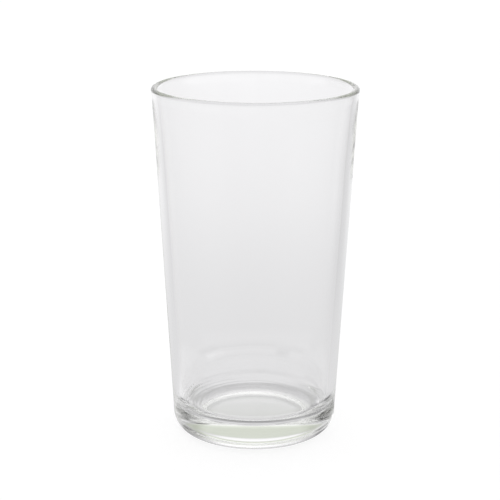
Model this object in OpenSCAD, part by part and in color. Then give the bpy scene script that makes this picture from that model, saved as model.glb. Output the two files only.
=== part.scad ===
// Bar mixing glass: one plain tapered tumbler pressed in clear glass.
// Thick solid base, rounded heel, flat bearing ring round a shallow recess,
// straight conical wall and a fire-polished rim.
// Millimetres, +Z up. Origin: centre of the base, on the surface it stands on.

/* [Overall] */
// Height from the table to the top of the rim
height = 150.6; // [140:0.2:170]
// Outside diameter of the rim bead
rim_d = 87; // [82:0.5:92]
// Outside diameter of the wall where it meets the heel rounding
heel_d = 70.2; // [66:0.2:76]

/* [Wall and rim] */
// Thickness of the fire-polished rim bead
rim_t = 2.8; // [2.8:0.1:3.6]
// How far the rim bead stands proud of the outside wall
rim_proud = 0.2; // [0:0.05:0.3]
// Wall thickness just under the rim
wall_top = 2.6; // [2:0.1:2.6]
// Wall thickness three quarters of the way up, where the inside starts to open out
wall_mid = 3.5; // [2.6:0.1:4]
// Wall thickness at the foot of the wall, level with the inner floor
wall_foot = 3.7; // [2.8:0.1:4.4]

/* [Base] */
// Height of the inner floor above the table
floor_z = 11; // [9:0.5:18]
// Radius of the inner corner between wall and floor
corner_r = 7.5; // [2:0.5:10]
// Radius of the heel rounding at the outside foot
heel_r = 8.6; // [6:0.2:9]
// Diameter of the bearing ring's inner edge, where the recess starts
recess_d = 46.8; // [40:0.2:47]
// Depth of the recess in the underside
recess_h = 1.9; // [0.5:0.1:3]
// Width of the soft slope from the bearing ring up to the recess
slope_w = 2.5; // [1.5:0.1:5]

/* [Hidden] */
$fn = 192;
rim_r = rim_d / 2;
ring_in = recess_d / 2;
recess_r = ring_in - slope_w;
// half-angle of the outside cone, then the radius it would have at the table
taper = atan((rim_r - rim_proud - heel_d / 2) / (height - rim_t / 2 - heel_r));
foot_r = heel_d / 2 - heel_r * tan(taper);
// heel arc: tangent to the outside cone and to the table
heel_x = foot_r + heel_r * tan(taper) - heel_r / cos(taper);
heel_tx = heel_x + heel_r * cos(taper);
heel_tz = heel_r - heel_r * sin(taper);
// inside cones, from the foot of the cavity to mid_z and from there to the rim
mid_z = 0.744 * height;
in_top = rim_r - rim_proud - wall_top;
in_mid = foot_r + mid_z * tan(taper) - wall_mid;
in_foot = foot_r + floor_z * tan(taper) - wall_foot;
in_taper = atan((in_mid - in_foot) / (mid_z - floor_z));
// inner corner arc: tangent to the inside cone and to the floor
corner_x = in_foot + corner_r * tan(in_taper) - corner_r / cos(in_taper);
corner_tx = corner_x + corner_r * cos(in_taper);
corner_tz = floor_z + corner_r - corner_r * sin(in_taper);

// Solid outside shape in section, up to the middle of the rim bead
module outside() {
    polygon([[0, recess_h], [recess_r, recess_h], [ring_in, 0], [heel_x, 0], [heel_tx, heel_tz],
             [rim_r - rim_proud, height - rim_t / 2], [0, height - rim_t / 2]]);
    translate([heel_x, heel_r]) circle(r = heel_r);
}

// Room for the drink in section, running out past the rim
module cavity() {
    polygon([[-1, floor_z], [corner_x, floor_z], [corner_tx, corner_tz],
             [in_mid, mid_z], [in_top, height - rim_t / 2], [in_top, height + 1], [-1, height + 1]]);
    translate([corner_x, floor_z + corner_r]) circle(r = corner_r);
}

// The whole glass: wall, base and rim are one pressed piece
module tumbler() {
    color([0.86, 0.93, 0.9, 0.4])
    rotate_extrude() {
        difference() {
            outside();
            cavity();
        }
        translate([rim_r - rim_t / 2, height - rim_t / 2]) circle(r = rim_t / 2);
    }
}

tumbler();
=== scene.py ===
# Mixing glass: looks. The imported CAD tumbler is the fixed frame; this script replaces its plain
# surface with a finely modelled glass, gives it real glass optics, and sets a pale studio round it.
import math

import bpy
from mathutils import Matrix, Vector, noise


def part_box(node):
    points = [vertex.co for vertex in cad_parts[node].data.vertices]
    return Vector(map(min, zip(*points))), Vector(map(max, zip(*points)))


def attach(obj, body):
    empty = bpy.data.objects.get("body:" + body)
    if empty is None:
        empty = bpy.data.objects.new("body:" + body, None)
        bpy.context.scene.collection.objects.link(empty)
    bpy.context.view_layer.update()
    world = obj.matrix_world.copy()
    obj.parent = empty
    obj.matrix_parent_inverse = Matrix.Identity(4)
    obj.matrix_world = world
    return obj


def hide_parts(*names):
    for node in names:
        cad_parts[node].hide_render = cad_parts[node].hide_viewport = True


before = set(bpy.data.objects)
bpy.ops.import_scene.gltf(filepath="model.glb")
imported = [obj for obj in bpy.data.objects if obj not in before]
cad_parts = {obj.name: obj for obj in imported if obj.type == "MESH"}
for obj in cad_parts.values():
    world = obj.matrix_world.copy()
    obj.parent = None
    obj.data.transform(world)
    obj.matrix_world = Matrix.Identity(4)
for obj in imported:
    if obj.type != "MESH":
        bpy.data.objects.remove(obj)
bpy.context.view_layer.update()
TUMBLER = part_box("tumbler")
MM = 0.001

# ---------------------------------------------------------------- section of the glass (millimetres)
HEIGHT = 150.6
RIM_R = 43.5
HEEL_R0 = 35.1      # outside radius where the wall meets the heel
HEEL_R = 8.6        # heel rounding
RIM_T = 2.8         # rim bead
RIM_PROUD = 0.2
WALL_TOP = 2.6
WALL_MID = 3.5       # at MID_Z, where the inside starts to open out towards the rim
MID_Z = 112.0
WALL_FOOT = 3.7
FLOOR_Z = 11.0
CORNER_R = 7.5
RECESS_H = 1.9      # hollow underside: flat disc, then a bevel down to the bearing ring
RECESS_DOME = 0.0
RECESS_R = 20.9
RING_IN = 23.4

TAPER = math.atan((RIM_R - RIM_PROUD - HEEL_R0) / (HEIGHT - RIM_T / 2 - HEEL_R))
FOOT_R = HEEL_R0 - HEEL_R * math.tan(TAPER)
HEEL_X = FOOT_R + HEEL_R * math.tan(TAPER) - HEEL_R / math.cos(TAPER)
IN_TOP = RIM_R - RIM_PROUD - WALL_TOP
IN_FOOT = FOOT_R + FLOOR_Z * math.tan(TAPER) - WALL_FOOT
IN_MID = FOOT_R + MID_Z * math.tan(TAPER) - WALL_MID
IN_TAPER = math.atan((IN_MID - IN_FOOT) / (MID_Z - FLOOR_Z))
CORNER_X = IN_FOOT + CORNER_R * math.tan(IN_TAPER) - CORNER_R / math.cos(IN_TAPER)


def arc(cx, cz, r, a0, a1, n):
    """Points on an arc, angles in degrees from +r, anticlockwise towards +z."""
    return [(cx + r * math.cos(math.radians(a0 + (a1 - a0) * i / n)),
             cz + r * math.sin(math.radians(a0 + (a1 - a0) * i / n))) for i in range(n + 1)]


def line(p, q, n, ends=False):
    return [(p[0] + (q[0] - p[0]) * i / n, p[1] + (q[1] - p[1]) * i / n)
            for i in range(0 if ends else 1, n + (1 if ends else 0))]


def smooth(t):
    return t * t * (3 - 2 * t)


RIDGES = 96          # fine radial ribs pressed into the bearing ring
UPRIGHT = 0.4        # how strong the upright waves of the inner wall are
WRINKLE = 0.22       # depth of the chill rings round the inner floor, mm
RING_STEP = 2.2      # and how far apart they are


def wave(a, z, around, along, seed):
    """Smooth seeded noise, about -1 to 1, that closes round the glass: around = waves a radian, along = waves a mm."""
    return noise.noise(Vector((around * math.cos(a) + seed, around * math.sin(a) - seed, along * z + 3.7 * seed)))


def fade(v, lo, hi):
    t = min(1.0, max(0.0, (v - lo) / (hi - lo)))
    return smooth(t)


def detail(a, r, z, zone):
    """Fine shape of the pressed glass at angle a: returns (dr, dz) in millimetres."""
    if zone in ("inside", "corner", "floor"):
        # the plunger leaves long upright waves in the inner wall, which die out under the bead
        low = 1 - fade(z, 18, 60)
        dr = (0.03 + 0.015 * low) * wave(a, z, 3.2, 0.012, 1.3) + 0.012 * wave(a, z, 9.0, 0.02, 5.1)
        dr *= UPRIGHT * (1 - fade(z, 138, 147)) * fade(r, CORNER_X + 0.3 * CORNER_R, CORNER_X + 0.9 * CORNER_R)
        # and chill rings where its nose met the cooling glass: uneven, close together, deepest on one side
        along = r + 0.8 * (z - FLOOR_Z)
        side = 0.1 + 0.9 * max(0.0, math.cos(a - math.radians(145))) ** 0.8
        ring = fade(along, CORNER_X - 2.5, CORNER_X + 1) * (1 - fade(z, FLOOR_Z + 2.5, FLOOR_Z + 7.0))
        turn = 2 * math.pi * along / RING_STEP + 3.0 * wave(a, 0, 1.6, 0, 2.9)
        rough = max(0.35, 0.7 + 0.9 * wave(a, along, 3.0, 0.10, 4.6))
        return dr, WRINKLE * side * ring * rough * math.sin(turn)
    if zone == "rim":
        return 0.02 * wave(a, 0, 2.2, 0, 4.4), 0.0
    if zone == "outside":
        k = fade(z, 9, 20) * (1 - fade(z, 138, 146))
        top = fade(z, 142, 148.8)
        return 0.006 * k * wave(a, z, 4.0, 0.015, 7.7) + 0.02 * top * wave(a, 0, 2.2, 0, 4.4), 0.0
    if zone == "ring":
        # shallow ribs in the bearing ring; their feet are what the glass stands on
        k = fade(r, RING_IN, RING_IN + 0.7) * (1 - fade(r, HEEL_X - 0.9, HEEL_X))
        return 0.0, 0.03 * k * (0.5 - 0.5 * math.cos(RIDGES * a))
    return 0.0, 0.0


def section():
    """Closed section from the underside's centre, out round the heel, up, over the rim and down to the floor's centre.

    Each point is (r, z, zone); the zones say where the pressed surface carries its fine detail."""
    pts = []

    def add(new, zone):
        pts.extend((r, z, zone) for r, z in new)

    t = math.degrees(TAPER)
    ti = math.degrees(IN_TAPER)
    n = 4
    add([(RECESS_R * i / n, RECESS_H + RECESS_DOME * (1 - (i / n) ** 2)) for i in range(1, n + 1)], "recess")
    n = 12
    add([(RECESS_R + (RING_IN - RECESS_R) * i / n, RECESS_H * (1 - smooth(i / n))) for i in range(1, n)], "bevel")
    add(line((RING_IN, 0), (HEEL_X, 0), 10, True)[:-1], "ring")
    add(arc(HEEL_X, HEEL_R, HEEL_R, -90, -t, 28), "heel")
    # the bead swells smoothly out of the wall, over the last 4 mm under it
    bead_r, bead_z = RIM_R - RIM_T / 2, HEIGHT - RIM_T / 2
    swell = 4.0
    out_r = RIM_R - RIM_PROUD
    start = (out_r - swell * math.tan(TAPER), bead_z - swell)
    add(line(pts[-1][:2], start, 15), "outside")
    n = 10
    add([(start[0] + swell * math.tan(TAPER) * (i / n) + RIM_PROUD * smooth(i / n),
          start[1] + swell * i / n) for i in range(1, n)], "outside")
    add(arc(bead_r, bead_z, RIM_T / 2, 0, 180, 24), "rim")
    in_r = bead_r - RIM_T / 2
    foot = (CORNER_X + CORNER_R * math.cos(IN_TAPER), FLOOR_Z + CORNER_R - CORNER_R * math.sin(IN_TAPER))
    # the inside opens out gently above MID_Z, from the lower cone to the bead
    n = 20
    pull = in_r - (IN_MID + (bead_z - MID_Z) * math.tan(IN_TAPER))
    for i in range(1, n + 1):
        z = bead_z + (MID_Z - bead_z) * i / n
        t = (z - MID_Z) / (bead_z - MID_Z)
        add([(IN_MID + (z - MID_Z) * math.tan(IN_TAPER) + pull * t ** 1.3, z)], "inside")
    low = (foot[0] + 12 * math.tan(IN_TAPER), foot[1] + 12)
    add(line(pts[-1][:2], low, 12), "inside")
    add(line(low, foot, 12), "inside")
    add(arc(CORNER_X, FLOOR_Z + CORNER_R, CORNER_R, -ti, -90, 30)[1:], "corner")
    quiet = CORNER_X - 6
    add(line((CORNER_X, FLOOR_Z), (quiet, FLOOR_Z), 14), "floor")
    add([(quiet * (4 - i) / 4, FLOOR_Z) for i in range(1, 4)], "floor")
    return pts


def lathe(name, seg=480):
    pts = section()
    verts = [(0.0, 0.0, (RECESS_H + RECESS_DOME) * MM)]
    n = len(pts)
    for i in range(seg):
        a = 2 * math.pi * i / seg
        ca, sa = math.cos(a), math.sin(a)
        for r, z, zone in pts:
            dr, dz = detail(a, r, z, zone)
            verts.append(((r + dr) * ca * MM, (r + dr) * sa * MM, (z + dz) * MM))
    verts.append((0.0, 0.0, FLOOR_Z * MM))
    last = len(verts) - 1
    faces = []
    for i in range(seg):
        a, b = 1 + i * n, 1 + ((i + 1) % seg) * n
        faces.append((0, b, a))
        for k in range(n - 1):
            faces.append((a + k, b + k, b + k + 1, a + k + 1))
        faces.append((a + n - 1, b + n - 1, last))
    me = bpy.data.meshes.new(name)
    me.from_pydata(verts, [], faces)
    me.validate()
    me.update()
    ob = bpy.data.objects.new(name, me)
    bpy.context.scene.collection.objects.link(ob)
    for p in me.polygons:
        p.use_smooth = True
    return ob


glass = lathe("tumbler_glass")

# ---------------------------------------------------------------- glass material
mat = bpy.data.materials.new("clear_glass")
mat.use_nodes = True
nt = mat.node_tree
bsdf = nt.nodes["Principled BSDF"]
out = nt.nodes["Material Output"]
bsdf.inputs["Base Color"].default_value = (1, 1, 1, 1)
bsdf.inputs["IOR"].default_value = 1.52
bsdf.inputs["Transmission Weight"].default_value = 1.0
vol = nt.nodes.new("ShaderNodeVolumeAbsorption")
vol.inputs["Color"].default_value = (0.9565, 0.9585, 0.949, 1)
vol.inputs["Density"].default_value = 10.0
nt.links.new(vol.outputs["Volume"], out.inputs["Volume"])
RIM_SOFT = 0.05


def node(kind, links=(), **values):
    """A shader node with its inputs set to numbers, or linked when given a socket."""
    n = nt.nodes.new(kind)
    for k, v in values.items():
        if hasattr(n, k):
            setattr(n, k, v)
        else:
            n.inputs[k.replace("_", " ")].default_value = v
    for k, v in links:
        nt.links.new(v, n.inputs[k])
    return n


place = node("ShaderNodeTexCoord").outputs["Object"]
height = node("ShaderNodeSeparateXYZ", [(0, place)]).outputs["Z"]
# polish: bright all over, with faint cloudy wear, and a softer gloss on the rim, which the flame melted
cloud = node("ShaderNodeTexNoise", [("Vector", place)], Scale=90.0, Detail=3.0, Roughness=0.55).outputs["Fac"]
worn = node("ShaderNodeMath", [(0, cloud)], operation="MULTIPLY")
worn.inputs[1].default_value = 0.012
soft = node("ShaderNodeMapRange", [("Value", height)], interpolation_type="SMOOTHSTEP",
            From_Min=0.1470, From_Max=0.1492, To_Min=0.0, To_Max=RIM_SOFT)
gloss = node("ShaderNodeMath", [(0, worn.outputs[0]), (1, soft.outputs["Result"])], operation="ADD")
nt.links.new(gloss.outputs[0], bsdf.inputs["Roughness"])
# skin: what the mould leaves on pressed glass, a shallow uneven swell too faint to see as bumps
swell = node("ShaderNodeTexNoise", [("Vector", place)], Scale=55.0, Detail=2.0, Roughness=0.4).outputs["Fac"]
skin = node("ShaderNodeBump", [("Height", swell)], Strength=0.35, Distance=0.00004)
nt.links.new(skin.outputs["Normal"], bsdf.inputs["Normal"])
glass.data.materials.append(mat)
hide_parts("tumbler")
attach(glass, "root")

# ---------------------------------------------------------------- camera
CAM = dict(D=660.0, zc=255.9, pitch=14.936, yaw=-0.175, roll=0.175, f=1596.6)
pitch, yaw, roll = (math.radians(CAM[k]) for k in ("pitch", "yaw", "roll"))
fw = Vector((math.sin(yaw) * math.cos(pitch), math.cos(yaw) * math.cos(pitch), -math.sin(pitch)))
rt = Vector((math.cos(yaw), -math.sin(yaw), 0.0))
up = rt.cross(fw)
# image point = R(roll) * camera point, with x right and y down: turn the camera the other way
cam_data = bpy.data.cameras.new("camera")
cam = bpy.data.objects.new("camera", cam_data)
bpy.context.scene.collection.objects.link(cam)
c, s = math.cos(roll), math.sin(roll)
# photo: u = c*x - s*y', v = s*x + c*y' with y' = -y (down). Axes of the picture in the world:
right = rt * c + up * s
upward = up * c - rt * s
m = Matrix((right, upward, -fw)).transposed().to_4x4()
m.translation = Vector((0, -CAM["D"] * MM, CAM["zc"] * MM))
cam.matrix_world = m
cam_data.sensor_width = 36
cam_data.lens = CAM["f"] * 36 / 500
cam_data.clip_start = 0.01
cam_data.clip_end = 100
bpy.context.scene.camera = cam

# ---------------------------------------------------------------- stage and light
class Field:
    """Soft-edged patches of light, written as shader nodes, over an angle round the glass (degrees, 0 behind it,
    positive to the right) and a second measure: height above the horizon in the sky, or distance on the table."""

    def __init__(self, tree, angle, measure):
        self.tree, self.angle, self.measure, self.sum = tree, angle, measure, None

    def node(self, kind, **props):
        n = self.tree.nodes.new(kind)
        for k, v in props.items():
            setattr(n, k, v)
        return n

    def math(self, op, a, b=None, c=None):
        n = self.node("ShaderNodeMath", operation=op)
        for i, v in enumerate((a, b, c)):
            if v is None:
                continue
            if isinstance(v, (int, float)):
                n.inputs[i].default_value = v
            else:
                self.tree.links.new(v, n.inputs[i])
        return n.outputs[0]

    def edge(self, value, zero, one):
        n = self.node("ShaderNodeMapRange", interpolation_type="SMOOTHSTEP")
        self.tree.links.new(value, n.inputs["Value"])
        n.inputs["From Min"].default_value = min(zero, one)
        n.inputs["From Max"].default_value = max(zero, one)
        n.inputs["To Min"].default_value = 0.0 if zero < one else 1.0
        n.inputs["To Max"].default_value = 1.0 if zero < one else 0.0
        return n.outputs["Result"]

    def window(self, value, lo, hi, soft):
        out = None
        if lo is not None:
            out = self.edge(value, lo - soft / 2, lo + soft / 2)
        if hi is not None:
            top = self.edge(value, hi + soft / 2, hi - soft / 2)
            out = top if out is None else self.math("MULTIPLY", out, top)
        return out

    def add(self, colour, centre=None, half=None, soft_a=10.0, lo=None, hi=None, soft=3.0):
        """Add a colour, everywhere or inside a soft-edged window."""
        mask = None
        if half is not None:
            off = self.math("ABSOLUTE", self.math("WRAP", self.math("SUBTRACT", self.angle, centre), 180.0, -180.0))
            mask = self.edge(off, half + soft_a / 2, half - soft_a / 2)
        if lo is not None or hi is not None:
            w = self.window(self.measure, lo, hi, soft)
            mask = w if mask is None else self.math("MULTIPLY", mask, w)
        n = self.node("ShaderNodeVectorMath", operation="SCALE")
        n.inputs[0].default_value = colour
        if mask is None:
            n.inputs["Scale"].default_value = 1.0
        else:
            self.tree.links.new(mask, n.inputs["Scale"])
        if self.sum is None:
            self.sum = n.outputs[0]
        else:
            a = self.node("ShaderNodeVectorMath", operation="ADD")
            self.tree.links.new(self.sum, a.inputs[0])
            self.tree.links.new(n.outputs[0], a.inputs[1])
            self.sum = a.outputs[0]

    def colour(self, least=0.03):
        n = self.node("ShaderNodeVectorMath", operation="MAXIMUM")
        self.tree.links.new(self.sum, n.inputs[0])
        n.inputs[1].default_value = (least, least, least)
        return n.outputs[0]


def polar(tree, vector, scale):
    """Angle round the glass in degrees, distance from its axis times scale, and the vector's z."""
    f = Field(tree, None, None)
    sep = f.node("ShaderNodeSeparateXYZ")
    tree.links.new(vector, sep.inputs[0])
    x, y, z = sep.outputs
    angle = f.math("MULTIPLY", f.math("ARCTAN2", x, y), math.degrees(1))
    r = f.math("SQRT", f.math("ADD", f.math("MULTIPLY", x, x), f.math("MULTIPLY", y, y)))
    return angle, f.math("MULTIPLY", r, scale), z


def grey(v, warm=0.0):
    return (v * (1.004 + warm), v, v * (1.012 - warm))


# the white table that the camera sees, with the glass's own faint contact shadow
S = 6.0


def plane(name, z):
    me = bpy.data.meshes.new(name)
    me.from_pydata([(-S, -S, z), (S, -S, z), (S, S, z), (-S, S, z)], [], [(0, 1, 2, 3)])
    ob = bpy.data.objects.new(name, me)
    bpy.context.scene.collection.objects.link(ob)
    ma = bpy.data.materials.new(name)
    ma.use_nodes = True
    me.materials.append(ma)
    return ob, ma.node_tree


table, tt = plane("stage_table", -0.0002)
for flag in ("visible_transmission", "visible_glossy", "visible_diffuse", "visible_shadow", "visible_volume_scatter"):
    setattr(table, flag, False)
tb = tt.nodes["Principled BSDF"]
tb.inputs["Base Color"].default_value = (0.22, 0.22, 0.22, 1)
tb.inputs["Roughness"].default_value = 1.0
tb.inputs["Specular IOR Level"].default_value = 0.0
tb.inputs["Emission Color"].default_value = (1, 1, 1, 1)
tb.inputs["Emission Strength"].default_value = 0.86

# the light that comes up off that table into the glass, from a plane only the glass sees, with painted shade and
# painted pools of light in its emission: softly shaded in front, where the glass keeps light off it
glow, gt = plane("stage_glow", -0.0004)
glow.visible_camera = False
gt.nodes.remove(gt.nodes["Principled BSDF"])
ge = gt.nodes.new("ShaderNodeEmission")
gt.links.new(ge.outputs[0], gt.nodes["Material Output"].inputs["Surface"])
tc = gt.nodes.new("ShaderNodeTexCoord")
ang, dist, _ = polar(gt, tc.outputs["Object"], 1000.0)
F = Field(gt, ang, dist)
F.add(grey(0.73))
F.add(grey(-0.04), hi=20.9, soft=3.0)  # painted shade under the hollow of the base
F.add(grey(0.27), lo=23.4, hi=26.5, soft=3.0)  # light gathered under the bearing ring
F.add(grey(-0.29), lo=20.9, hi=37.2, soft=8.1)  # shade under the heel
F.add(grey(-0.21), centre=139, half=83, soft_a=12, lo=46.2, hi=64.7, soft=6.4)  # the glass keeps light off the table, right
F.add(grey(-0.28), centre=185, half=71, soft_a=12, lo=31.2, hi=50.2, soft=3.0)  # front
F.add(grey(-0.36), centre=-118, half=16, soft_a=12, lo=33.9, hi=42.7, soft=3.0)  # left
F.add(grey(0.78), centre=148, half=78, soft_a=12, lo=33.9, hi=44.9, soft=3.0)  # light thrown forward through the heel
F.add(grey(0.18), centre=184, half=107, soft_a=12, lo=60.2, hi=130.9, soft=22.0)  # and the bright pool round that
F.add(grey(0.19), centre=-6, half=33, soft_a=19, lo=283.2, soft=639.6)  # painted light on the far table, behind
F.add(grey(-0.11), centre=127, half=79, soft_a=60, lo=168.0, soft=212.9)  # painted shade on the far table, front
F.add(grey(-0.55), centre=-90, half=17, soft_a=12, lo=50.4, hi=59.7, soft=3.0)  # shade beside the foot, left
F.add(grey(0.24), centre=-88, half=16, soft_a=12, lo=31.4, hi=49.7, soft=3.0)  # bright line inside it
F.add(grey(-0.55), centre=84, half=21, soft_a=12, lo=50.2, hi=60.9, soft=3.0)  # shade beside the foot, right
F.add(grey(-0.16), centre=100, half=21, soft_a=12, lo=24.9, hi=40.1, soft=3.0)  # and inside it
F.add(grey(0.32), centre=0, half=40, soft_a=30, lo=2600.0, soft=4000.0)  # far off, the table brightens into the sweep
F.add(grey(0.30), centre=155, half=70, soft_a=30, lo=2600.0, soft=4000.0)  # and into the reflectors
gt.links.new(F.colour(), ge.inputs["Color"])
ge.inputs["Strength"].default_value = 1.0
glow.data.materials[0].cycles.emission_sampling = "NONE"

# the studio round the glass: pale walls, a lit sweep behind, grey flags at its sides and a soft ceiling
world = bpy.data.worlds.new("studio")
bpy.context.scene.world = world
world.use_nodes = True
wt = world.node_tree
bg = wt.nodes["Background"]
tc = wt.nodes.new("ShaderNodeTexCoord")
ang, _, wz = polar(wt, tc.outputs["Generated"], 1.0)
W = Field(wt, ang, None)
W.measure = W.math("MULTIPLY", W.math("ARCSINE", wz), math.degrees(1))
W.add(grey(0.73))  # walls
W.add(grey(0.25), centre=5, half=15, soft_a=33, lo=-9.0, hi=16.1, soft=3.0)  # the lit sweep behind the glass
W.add(grey(0.26), centre=-3, half=24, soft_a=12, lo=-9.0, hi=19.4, soft=3.0)  # its bright foot, where wall and table meet
W.add(grey(0.26), centre=-33, half=70, soft_a=24, lo=28.8, hi=44.9, soft=11.0)  # soft panel high behind, to the left
W.add(grey(-0.52), centre=-64, half=22, soft_a=12, lo=-9.0, hi=16.0, soft=3.0)  # grey flag, left behind
W.add(grey(-0.20), centre=59, half=26, soft_a=12, lo=-8.4, hi=43.1, soft=3.0)  # grey flag, right behind
W.add(grey(-0.50), centre=140, half=62, soft_a=12, lo=21.1, hi=50.6, soft=3.0)  # dark upper wall, right of the camera
W.add(grey(-0.11), centre=-92, half=60, soft_a=12, lo=-9.0, hi=75.4, soft=3.0)  # the room beyond the left flag
W.add(grey(-0.07), centre=156, half=88, soft_a=12, lo=-1.9, hi=50.9, soft=3.0)  # the room behind the camera
W.add(grey(0.45), lo=50.9, soft=3.0)  # ceiling
W.add(grey(-0.10), lo=60.4, soft=3.0)  # the shaded middle of the ceiling
W.add(grey(0.41), centre=135, half=48, soft_a=12, lo=-9.0, hi=37.0, soft=3.0)  # pale reflector, front right
W.add(grey(0.31), centre=-131, half=43, soft_a=12, lo=-9.0, hi=20.6, soft=5.8)  # pale reflector, front left
W.add(grey(-0.24), centre=-140, half=38, soft_a=28, lo=28.6, hi=51.8, soft=3.0)  # dark upper wall, left of the camera
W.add(grey(-0.19), centre=153, half=27, soft_a=12, lo=29.2, hi=50.9, soft=3.0)  # and its deeper shade beside the camera
W.add((-0.036, 0.0, -0.094), centre=0, half=50, soft_a=30, lo=20, hi=36, soft=4)  # a faint green cast on the wall behind
wt.links.new(W.colour(), bg.inputs["Color"])
bg.inputs["Strength"].default_value = 1.0
# straight to the camera the studio is a plain white backdrop
plain = wt.nodes.new("ShaderNodeBackground")
plain.inputs["Color"].default_value = (1, 1, 1, 1)
plain.inputs["Strength"].default_value = 1.03
mix = wt.nodes.new("ShaderNodeMixShader")
path = wt.nodes.new("ShaderNodeLightPath")
wt.links.new(path.outputs["Is Camera Ray"], mix.inputs["Fac"])
wt.links.new(bg.outputs[0], mix.inputs[1])
wt.links.new(plain.outputs[0], mix.inputs[2])
wt.links.new(mix.outputs[0], wt.nodes["World Output"].inputs["Surface"])

sc = bpy.context.scene
sc.view_settings.view_transform = "Standard"
sc.cycles.max_bounces = 256
sc.cycles.transmission_bounces = 256
sc.cycles.glossy_bounces = 256
sc.cycles.diffuse_bounces = 4
